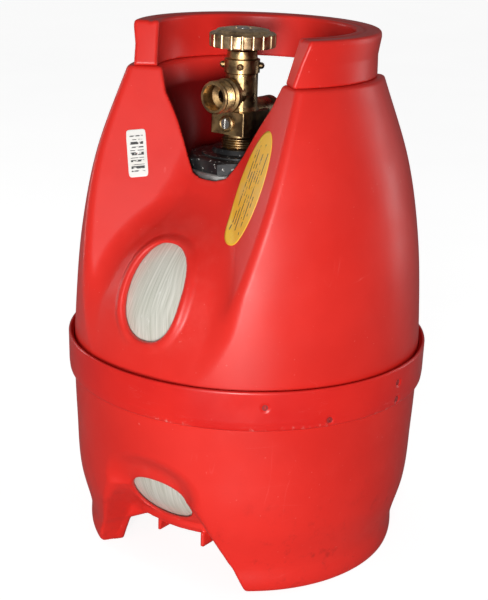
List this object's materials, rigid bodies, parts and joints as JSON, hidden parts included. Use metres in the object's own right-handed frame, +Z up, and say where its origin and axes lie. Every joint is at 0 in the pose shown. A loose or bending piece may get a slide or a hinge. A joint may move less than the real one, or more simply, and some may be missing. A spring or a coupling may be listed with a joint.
{
  "type": "composite gas cylinder",
  "caption": "Refillable propane cylinder: glass-wound vessel in a two-part moulded jacket with carrying collar, handwheel valve and relief valve.",
  "frame": {"origin": "middle of the foot, on the floor", "axes": "+Z up along the jacket's axis; the recess with the valve's outlet faces -Y; +X to the right seen from the front"},
  "size_m": [0.306, 0.306, 0.4426],
  "materials": {
    "jacket_red": "satin moulded polyethylene",
    "dark_plastic": "moulded pins, dirty red",
    "glass_winding": "glass fibre in clear resin",
    "liner_plastic": "natural polyethylene",
    "boss_metal": "machined, dull",
    "seal_rubber": "moulded rubber",
    "black_metal": "black coated, greasy",
    "valve_brass": "forged brass with dark patina",
    "dark_brass": "oxidised",
    "steel": "plain",
    "label_yellow": "printed film",
    "label_white": "printed film"
  },
  "bodies": {
    "tank": {"upper_shell": "jacket_red", "lower_shell": "jacket_red", "joint_band": "jacket_red", "carry_collar": "jacket_red", "band_pins": "dark_plastic", "composite_wrap": "glass_winding", "liner": "liner_plastic", "neck_boss": "boss_metal", "neck_seal": "seal_rubber", "clamp_nut": "black_metal", "valve_body": "valve_brass", "bonnet": "valve_brass", "bonnet_pins": "valve_brass", "spindle_seals": "seal_rubber", "level_gauge_plug": "valve_brass", "level_gauge_screw": "steel", "relief_body": "dark_brass", "relief_spring": "steel", "relief_adjuster": "dark_brass", "oval_label": "label_yellow", "barcode_label": "label_white"},
    "wheel": {"handwheel": "valve_brass", "wheel_screw": "steel", "spindle": "valve_brass"},
    "plug": {"valve_plug": "valve_brass", "seat_disc": "seal_rubber"},
    "poppet": {"relief_poppet": "valve_brass", "relief_seal": "seal_rubber"}
  },
  "joints": [
    {"name": "wheel_turn", "type": "hinge", "parent": "tank", "child": "wheel", "pos_m": [-0.004, -0.013, 0.43], "axis": [0, 0, 1], "range_deg": [0, 810]},
    {"name": "plug_lift", "type": "slide", "parent": "wheel", "child": "plug", "axis": [0, 0, 1], "range_m": [0, 0.004]},
    {"name": "relief_lift", "type": "slide", "parent": "tank", "child": "poppet", "axis": [0, 1, 0], "range_m": [0, 0.0025], "stiffness_N_per_m": 4000, "deforming": ["relief_spring"]}
  ],
  "couplings": [
    {"joint": "plug_lift", "follows": "wheel_turn", "m_per_rad": 0.00027852}
  ]
}
